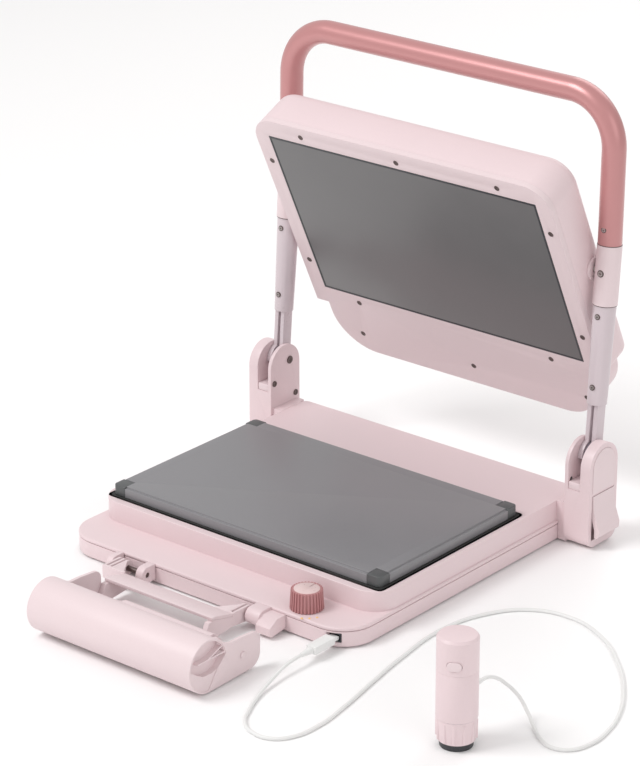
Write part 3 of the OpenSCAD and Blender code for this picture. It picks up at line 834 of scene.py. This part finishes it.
@dataclass
class Base(SubAssembly):
    """The base: its mouldings, platen, feet and hinge towers.

    Attributes:
        deck: the deck.
        pan: the pan under the deck.
        mouth: the opening for the cord's plug.
        inlet: the opening for the mains inlet.
        rim: the raised frame round the platen.
        pocket: the opening in the raised frame.
        lamp_ring: distance of the lamps from the knob's middle.
        lamp_turns: where each lamp stands on that ring, in degrees.
        lamp_foot: height of the lamps' feet.
        lamp_radius: radius of a lamp.
        lamp_height: height of a lamp.
        cheek_x: distance of the towers' inner faces from the machine's middle.
        cheek_heads: Y, Z and radius of each screw head on a tower's inner face.
    """

    body: str = "base"
    deck: Extent = Extent((-163, -54, 15.8), (163, 279, 19.5), 32, 6)
    pan: Extent = Extent((-162.7, -53.7, 2.0), (162.7, 278.7, 15.5), 31.7, 5.7)
    mouth: Extent = Extent((138, -60, 5.8), (150, -44, 14.2))
    inlet: Extent = Extent((-109.5, 262, 4.6), (-80.5, 282, 14.9))
    rim: Extent = Extent((-161, -12, 19.0), (161, 278, 38.5), 24, 6)
    pocket: Extent = Extent((-156.4, -4, 12), (156.4, 198.4, 45), 5, 5)
    lamp_ring: float = 21
    lamp_turns: tuple[float, ...] = (-62, -44, -26)
    lamp_foot: float = 19.35
    lamp_radius: float = 1.1
    lamp_height: float = 0.5
    cheek_x: float = 170.9
    cheek_heads: tuple = ((244, 63, 2.9), (275, 45, 2.9), (*ARM_PIVOT, 3.8))

    def shells(self) -> None:
        """Models the deck, the pan under it and the raised frame."""
        deck = self.deck.model("deck_moulding")
        soften(deck, 1.6, 4)
        self.place(deck, Look.HOUSING, "base_cover")
        pan = self.pan.model("pan_moulding")
        carve(pan, self.mouth.model("mouth"))
        carve(pan, self.inlet.model("inlet"))
        soften(pan, 1.2, 4)
        self.place(pan, Look.HOUSING, "base_pan")
        rim = self.rim.model("frame_moulding")
        carve(rim, self.pocket.model("pocket"))
        soften(rim, 3.2, 6, 60)
        self.place(rim, Look.HOUSING)

    def platen(self) -> None:
        """Recasts the lower platen with its corner clips and its seal."""
        self.recast("lower_platen", Look.PLATEN, 0.35)
        self.recast("platen_corners", Look.CLIP, 0.7)
        self.recast("platen_gasket", Look.RUBBER, 0.4)

    def marks(self) -> None:
        """Adds the small amber lamps in front of the knob."""
        knob_x, knob_y = KNOB_PLACE
        dots = []
        for step, degrees in enumerate(self.lamp_turns):
            turn = math.radians(degrees)
            spot = at(
                knob_x + self.lamp_ring * math.cos(turn),
                knob_y + self.lamp_ring * math.sin(turn),
                self.lamp_foot,
            )
            dots.append(drum(f"dot_{step}", spot, self.lamp_radius, self.lamp_height, 20))
        lamps = join(dots, "deck_lamps")
        soften(lamps, 0.15, 2)
        self.place(lamps, Look.MARK)

    def cheek_screws(self) -> None:
        """Adds the dark screw heads on the towers' inner faces."""
        heads = []
        for side in (-1, 1):
            turn = Matrix.Rotation(math.radians(-90 * side), 4, "Y")
            for y, z, radius in self.cheek_heads:
                where = Matrix.Translation(at(side * self.cheek_x, y, z)) @ turn
                heads.append(screw_head(f"cheek_screw_{side}_{y:.0f}", radius, where))
        self.place(join(heads, "cheek_screw_heads"), Look.SCREW)

    def build(self) -> None:
        """Builds the base."""
        self.shells()
        self.platen()
        self.marks()
        self.cheek_screws()
        for node in ("left_tower", "right_tower"):
            self.recast(node, Look.HOUSING, 1.3, 4)
        for node in ("left_side_cover", "right_side_cover"):
            self.recast(node, Look.PALE, 0.5)
        for node in ("left_stop_block", "right_stop_block"):
            self.recast(node, Look.PALE, 0.8)
        self.recast("tray_brackets", Look.HOUSING, 0.9)
        self.recast("tool_socket", Look.DARK, 0.3)
        self.recast("power_inlet", Look.DARK, 0.5)
        self.recast("rubber_feet", Look.RUBBER, 0.4)
        for node in ("base_screws", "inlet_pins", "paddle_pin", "knob_spindle"):
            self.recast(node, Look.STEEL, 0.25, 2)
        for node in ("arm_pivot_pins", "tray_hinge_pins"):
            self.recast(node, Look.SCREW, 0.25, 2)
        self.recast("tower_screws", Look.DARK, 0.2, 2)
        self.dress("control_board", Look.BOARD)
        self.dress("lower_heater", Look.FILM)


@dataclass
class Knob(SubAssembly):
    """The ribbed temperature knob.

    Attributes:
        ribs: how many ribs go round it.
        radius: its radius between the ribs.
        rib: how far a rib stands out.
        foot: height of its foot.
        height: from its foot to its top.
        taper: the share of its width that it loses towards the top.
        highlight_disc_radius: radius of the disc on its top, painted lighter as a highlight.
        highlight_disc_height: height of that highlight disc.
        highlight_disc_sunk: how deep that highlight disc is sunk.
        slit: half the width of the pointer's groove.
        cutter_top: height of the top of the groove's cutter, clear of the knob.
    """

    body: str = "knob"
    ribs: int = 30
    radius: float = 13.6
    rib: float = 1.1
    foot: float = 19.9
    height: float = 17.4
    taper: float = 0.07
    highlight_disc_radius: float = 11.2
    highlight_disc_height: float = 0.6
    highlight_disc_sunk: float = 0.3
    slit: float = 0.7
    cutter_top: float = 42

    def on_rib(self, normal: Vector) -> bool:
        """Tells a rib's faces from the others on the cylinder, which has four to each rib.

        Args:
            normal: the face's normal.

        Returns:
            Whether the face belongs to a rib.
        """
        turn = math.atan2(normal.y, normal.x) % (2 * math.pi)
        index = int(turn / (2 * math.pi) * self.ribs * 4)
        return abs(normal.z) < 0.1 and index % 4 in (0, 1)

    def groove(self, near: float, far: float, depth: float) -> bpy.types.Object:
        """Models the cutter of the pointer's groove.

        Args:
            near: where it starts, behind the knob's middle.
            far: where it ends, behind the knob's middle.
            depth: how deep it goes under the knob's top.

        Returns:
            The cutter.
        """
        x, y = KNOB_PLACE
        top = self.foot + self.height
        low = at(x - self.slit, y + near, top - depth)
        return block("groove", low, at(x + self.slit, y + far, self.cutter_top))

    def build(self) -> None:
        """Models the knob from one cylinder, with ribs extruded from its side."""
        middle = at(*KNOB_PLACE, self.foot)
        knob = drum("knob_moulding", middle, self.radius, self.height, self.ribs * 4)
        choose_faces(knob, self.on_rib)
        edit(knob, "FACE")
        bpy.ops.mesh.extrude_region_shrink_fatten(
            TRANSFORM_OT_shrink_fatten={"value": self.rib / 1000}
        )
        done()
        for vertex in knob.data.vertices:
            up = (vertex.co.z - middle.z) / (self.height / 1000)
            for axis in (0, 1):
                out = vertex.co[axis] - middle[axis]
                vertex.co[axis] = middle[axis] + out * (1 - self.taper * up)
        carve(knob, self.groove(3, 11.4, 0.7))
        soften(knob, 0.45, 3, 50)
        self.place(knob, Look.KNOB, "temperature_knob")
        # a disc on the top in a lighter, coated copy of the knob's plastic: painted highlight
        highlight_disc_foot = at(*KNOB_PLACE, self.foot + self.height - self.highlight_disc_sunk)
        highlight_disc = drum("knob_top_highlight", highlight_disc_foot, self.highlight_disc_radius, self.highlight_disc_height, 96)
        carve(highlight_disc, self.groove(4, 12, 0.2))
        soften(highlight_disc, 0.15, 2, 50)
        self.place(highlight_disc, Look.KNOB_TOP)


@dataclass
class Lever(SubAssembly):
    """The two arms, their sleeves and the bent handle tube.

    Attributes:
        lean: how far the open arms lean back, in degrees.
        arm_x: distance of each arm from the machine's middle.
        screws: for each screw on an arm, how far along it is, how far out, and its radius.
        shade_ring_wide: how far a screw's dark ring of painted shade stands out round its head.
        shade_ring_deep: how deep a painted-shade ring goes under the screw's place.
        shade_ring_height: height of a painted-shade ring.
        shade_seams: how far along the arm each dark band of painted shade at a joint is.
        shade_seam_radius: radius of a painted-shade band.
        shade_seam_height: height of a painted-shade band.
    """

    body: str = "lever"
    lean: float = 4.5
    arm_x: float = 181.0
    screws: tuple = ((64.4, 9.4, 1.9), (129.7, 10.2, 1.9), (169.31, 11.0, 2.4), (208.9, 11.2, 1.9))
    shade_ring_wide: float = 0.75
    shade_ring_deep: float = 1.2
    shade_ring_height: float = 1.7
    shade_seams: tuple[float, ...] = (139.3, 193.8)
    shade_seam_radius: float = 11.05
    shade_seam_height: float = 0.8

    def arm_place(self, side: int) -> Matrix:
        """Returns the matrix from an arm's own frame, +Z along it, to its open place."""
        start = Matrix.Translation(at(side * self.arm_x, *ARM_PIVOT))
        return start @ Matrix.Rotation(math.radians(-self.lean), 4, "X")

    def on_arm(self, side: int, up: float, out: float) -> Matrix:
        """Finds a place on an arm's front.

        Args:
            side: -1 for the left arm, 1 for the right.
            up: millimetres along the arm from its pivot.
            out: millimetres out of its middle, towards the front.

        Returns:
            The matrix that lays a screw head there, facing forwards.
        """
        spot = Matrix.Translation(mm(0, -out, up))
        return self.arm_place(side) @ spot @ Matrix.Rotation(math.radians(90), 4, "X")

    def screws_and_shade_rings(self) -> None:
        """Adds the screw heads on the arms and a dark ring of painted shade round each."""
        heads = []
        shade_rings = []
        for side in (-1, 1):
            for up, out, radius in self.screws:
                mark = f"{side}_{up:.0f}"
                where = self.on_arm(side, up, out)
                heads.append(screw_head(f"arm_screw_{mark}", radius, where))
                # a dark ring round the head: painted shade for the gap round the screw
                foot = mm(0, 0, -self.shade_ring_deep)
                ring = drum(f"arm_shade_ring_{mark}", foot, radius + self.shade_ring_wide, self.shade_ring_height, 32)
                soften(ring, 0.2, 2)
                ring.data.transform(where)
                shade_rings.append(ring)
        self.place(join(heads, "arm_screw_heads"), Look.STEEL, "arm_screws")
        self.place(join(shade_rings, "arm_screw_rings"), Look.SCREW)

    def painted_seam_shade(self) -> None:
        """Adds dark bands of painted shade where the sleeves meet the arms and the handle."""
        shade_seams = []
        for side in (-1, 1):
            for up in self.shade_seams:
                name = f"arm_seam_shade_{side}_{up:.0f}"
                shade_seam = drum(name, mm(0, 0, up), self.shade_seam_radius, self.shade_seam_height, 64)
                shade_seam.data.transform(self.arm_place(side))
                shade_seams.append(shade_seam)
        # dark bands of painted shade for the shade in the joints
        lines = join(shade_seams, "arm_seams")
        soften(lines, 0.15, 2)
        self.place(lines, Look.SCREW)

    def build(self) -> None:
        """Builds the lever."""
        for side in ("left", "right"):
            self.recast(f"{side}_arm", Look.ARM, 0.7)
            self.recast(f"{side}_cam", Look.CAM, 0.3)
            self.recast(f"{side}_sleeve", Look.PALE, 0.5)
        self.recast("handle_tube", Look.ROSE, 0.5)
        self.screws_and_shade_rings()
        self.painted_seam_shade()


@dataclass
class Head(SubAssembly):
    """The upper half: cover, bezel, platen and their screws.

    Its own frame has its origin between the pivots and its platen facing +Z.

    Attributes:
        pivot: Y and Z of its pivots, in the machine at rest.
        rest: its turn at rest, in degrees.
        face: Z of the platen's face.
        cover_back: how far the cover's back is behind the face.
        cover_front: how far the cover's front edge is behind the face.
        back_round: radius of the round along the cover's back edge.
        seal_half: half the width and half the depth of the edge seal.
        seal_wide: how wide the seal's lip is.
        seal_height: height of the lip.
        seal_proud: how far the lip stands out of the face.
        screws: X and Y of each screw in the bezel.
        screw_radius: radius of their heads.
        screw_sunk: how far their heads are sunk under the face.
    """

    body: str = "head"
    pivot: tuple[float, float] = (279.784, 249.792)
    rest: float = 115.4
    face: float = 29.4
    cover_back: float = 46
    cover_front: float = 6.05
    back_round: float = 11
    seal_half: tuple[float, float] = (149.55, 93.75)
    seal_wide: float = 2.2
    seal_height: float = 1.4
    seal_proud: float = 0.08
    screws: tuple = (
        (-109, 102), (0, 101), (111, 102), (-157, 62), (157, 62), (-157, -61), (157, -61),
        (-111, -103), (111, -103), (-121, -146), (11, -145), (140, -142),
    )
    screw_radius: float = 2.7
    screw_sunk: float = 0.5

    def seat(self) -> Matrix:
        """Returns the matrix from the head's own frame to its open place."""
        turn = Matrix.Rotation(math.radians(self.rest), 4, "X")
        return Matrix.Translation(at(0, *self.pivot)) @ turn

    def shell(self) -> None:
        """Models the cover: two slabs joined, with a broad round along the back edge."""
        low = self.face - self.cover_back
        high = self.face - self.cover_front
        shell = slab("head_shell", mm(-166, -114, low), mm(166, 113, high), 11.5, 26)
        tail = slab("tail", mm(-152, -168, low), mm(152, 0, high), 42, 2)

        def outer(a: Vector, b: Vector) -> bool:
            """Tells the back's outer edges from the others and from those inside the joint."""
            level = abs(a.z - low / 1000) < 1e-5 and abs(b.z - low / 1000) < 1e-5
            inside = abs(a.y) < 0.0021 and abs(b.y) < 0.0021
            return level and not inside

        for part in (shell, tail):
            round_edges(part, outer, self.back_round, 8)
        carve(shell, tail, "UNION")
        shell.data.transform(self.seat())
        soften(shell, 0.5, 2, 60)
        self.place(shell, Look.HOUSING, "head_cover")

    def edge_seal(self) -> None:
        """Models the thin dark lip around the upper platen's face."""
        x, y = self.seal_half
        top = self.face + self.seal_proud
        lip = block("upper_edge_lip", mm(-x, -y, top - self.seal_height), mm(x, y, top))
        x, y = x - self.seal_wide, y - self.seal_wide
        carve(lip, block("hole", mm(-x, -y, top - 10), mm(x, y, top + 10)))
        soften(lip, 0.06, 2)
        lip.data.transform(self.seat())
        self.place(lip, Look.DARK)

    def bezel_screws(self) -> None:
        """Adds the dark screw heads in the bezel."""
        seat = self.seat()
        heads = []
        for index, (x, y) in enumerate(self.screws):
            spot = Matrix.Translation(mm(x, y, self.face - self.screw_sunk))
            heads.append(screw_head(f"bezel_screw_{index}", self.screw_radius, seat @ spot))
        self.place(join(heads, "bezel_screw_heads"), Look.SCREW, "bezel_screws")

    def build(self) -> None:
        """Builds the head."""
        self.shell()
        self.recast("head_bezel", Look.PALE, 1.1, 4)
        self.recast("upper_platen", Look.UPPER, 0.5)
        self.recast("upper_gasket", Look.RUBBER, 0.3)
        self.edge_seal()
        self.recast("pivot_bosses", Look.PALE, 0.5)
        self.recast("head_pins", Look.STEEL, 0.3, 2)
        self.dress("upper_heater", Look.FILM)
        self.bezel_screws()


@dataclass
class RollTray(SubAssembly):
    """The swing-out tray that carries a roll."""

    body: str = "tray"

    def build(self) -> None:
        """Builds the tray and its roll."""
        self.recast("roll_tray", Look.PALE, 0.8)
        self.recast("tray_bridge", Look.PALE, 0.5)
        self.recast("tray_arms", Look.PALE, 0.8)
        roll = SubAssembly("roll")
        roll.recast("roll_core", Look.PALE, 0.5)
        roll.recast("roll_plugs", Look.PALE, 0.4)


@dataclass
class HandTool(SubAssembly):
    """The corded hand tool that stands beside the machine.

    Attributes:
        stand: X and Y of its middle.
        shade_seams: height of each dark band of painted shade at a joint.
        shade_seam_radius: radius of a painted-shade band.
        shade_seam_height: height of a painted-shade band.
    """

    body: str = "base"
    stand: tuple[float, float] = (324, -117)
    shade_seams: tuple[float, ...] = (26.1, 67.2)
    shade_seam_radius: float = 16.72
    shade_seam_height: float = 0.6

    def painted_seam_shade(self) -> None:
        """Adds dark bands of painted shade in the thin gaps between the tool's parts."""
        shade_seams = []
        for z in self.shade_seams:
            spot = at(*self.stand, z)
            shade_seams.append(drum(f"seam_{z:.0f}", spot, self.shade_seam_radius, self.shade_seam_height, 96))
        # painted shade: the gaps are too thin to shade themselves
        lines = join(shade_seams, "tool_seams")
        soften(lines, 0.1, 2)
        self.place(lines, Look.CAM)

    def build(self) -> None:
        """Builds the tool."""
        self.recast("tool_body", Look.HOUSING, 0.5)
        self.recast("tool_cap", Look.HOUSING, 0.9, 4)
        self.recast("tool_tip", Look.DARK, 0.7)
        self.dress("tool_motor", Look.STEEL)
        self.painted_seam_shade()
        SubAssembly("collar").recast("tool_collar", Look.HOUSING, 0.4)
        SubAssembly("button").recast("tool_button", Look.PALE, 0.5)


@dataclass
class ReleasePaddle(SubAssembly):
    """The paddle on the right tower."""

    body: str = "paddle"

    def build(self) -> None:
        """Builds the paddle."""
        self.recast("release_paddle", Look.PALE, 1.0, 4)


@dataclass
class Cord(SubAssembly):
    """The tool's cord, its plug and its two boots.

    Attributes:
        thick: the cord's diameter.
        route: the points that its middle passes through.
    """

    body: str = "base"
    thick: float = 3.2
    route: tuple = (
        (324, -86, 44), (324, -79, 43.6), (325, -69, 40), (328, -58, 31), (335, -50, 19),
        (344, -50, 8), (356, -58, 2.4), (370, -69, 1.6), (386, -76, 1.6), (400, -70, 1.6),
        (407, -52, 1.6), (405, -25, 1.6), (396, 3, 1.6), (376, 38, 1.6), (342, 78, 1.6),
        (304, 108, 1.6), (264, 120, 1.6), (229, 110, 1.6), (204, 77, 1.6), (194, 30, 1.6),
        (200, -30, 1.6), (209, -80, 1.6), (218, -125, 1.6), (223, -165, 1.6), (219, -192, 1.6),
        (207, -206, 1.6), (189, -207, 1.6), (174, -198, 1.6), (163, -180, 1.6), (153, -156, 2.4),
        (147, -132, 5.5), (144, -110, 9), (144, -96, 10), (144, -92, 10),
    )

    def build(self) -> None:
        """Models the cord as one smooth curve, and recasts its plug and its boots."""
        data = bpy.data.curves.new("cord_line", "CURVE")
        data.dimensions = "3D"
        data.bevel_depth = self.thick / 2000
        data.bevel_resolution = 4
        data.resolution_u = 8
        data.use_fill_caps = True
        spline = data.splines.new("BEZIER")
        spline.bezier_points.add(len(self.route) - 1)
        for point, spot in zip(spline.bezier_points, self.route):
            point.co = at(*spot)
            point.handle_left_type = point.handle_right_type = "AUTO"
        cord = bpy.data.objects.new("tool_cord_jacket", data)
        bpy.context.scene.collection.objects.link(cord)
        self.place(cord, Look.CORD, "tool_cord")
        plug = self.recast("tool_plug", Look.WHITE, 0.7, 3)
        boot = self.recast("plug_boot", Look.WHITE, 0.3, 2)
        relief = self.recast("tool_boot", Look.WHITE, 0.3, 2)


def main() -> None:
    """Builds the studio and every sub-assembly in order."""
    moulded_group()
    brushed_group()
    parts = (
        Studio(), Cord(), Base(), Knob(), Lever(), Head(), RollTray(), HandTool(), ReleasePaddle()
    )
    for part in parts:
        part.build()
        log.info("%s is built", type(part).__name__)


if __name__ == "__main__":
    logging.basicConfig(level=logging.INFO, format="%(message)s")
    main()
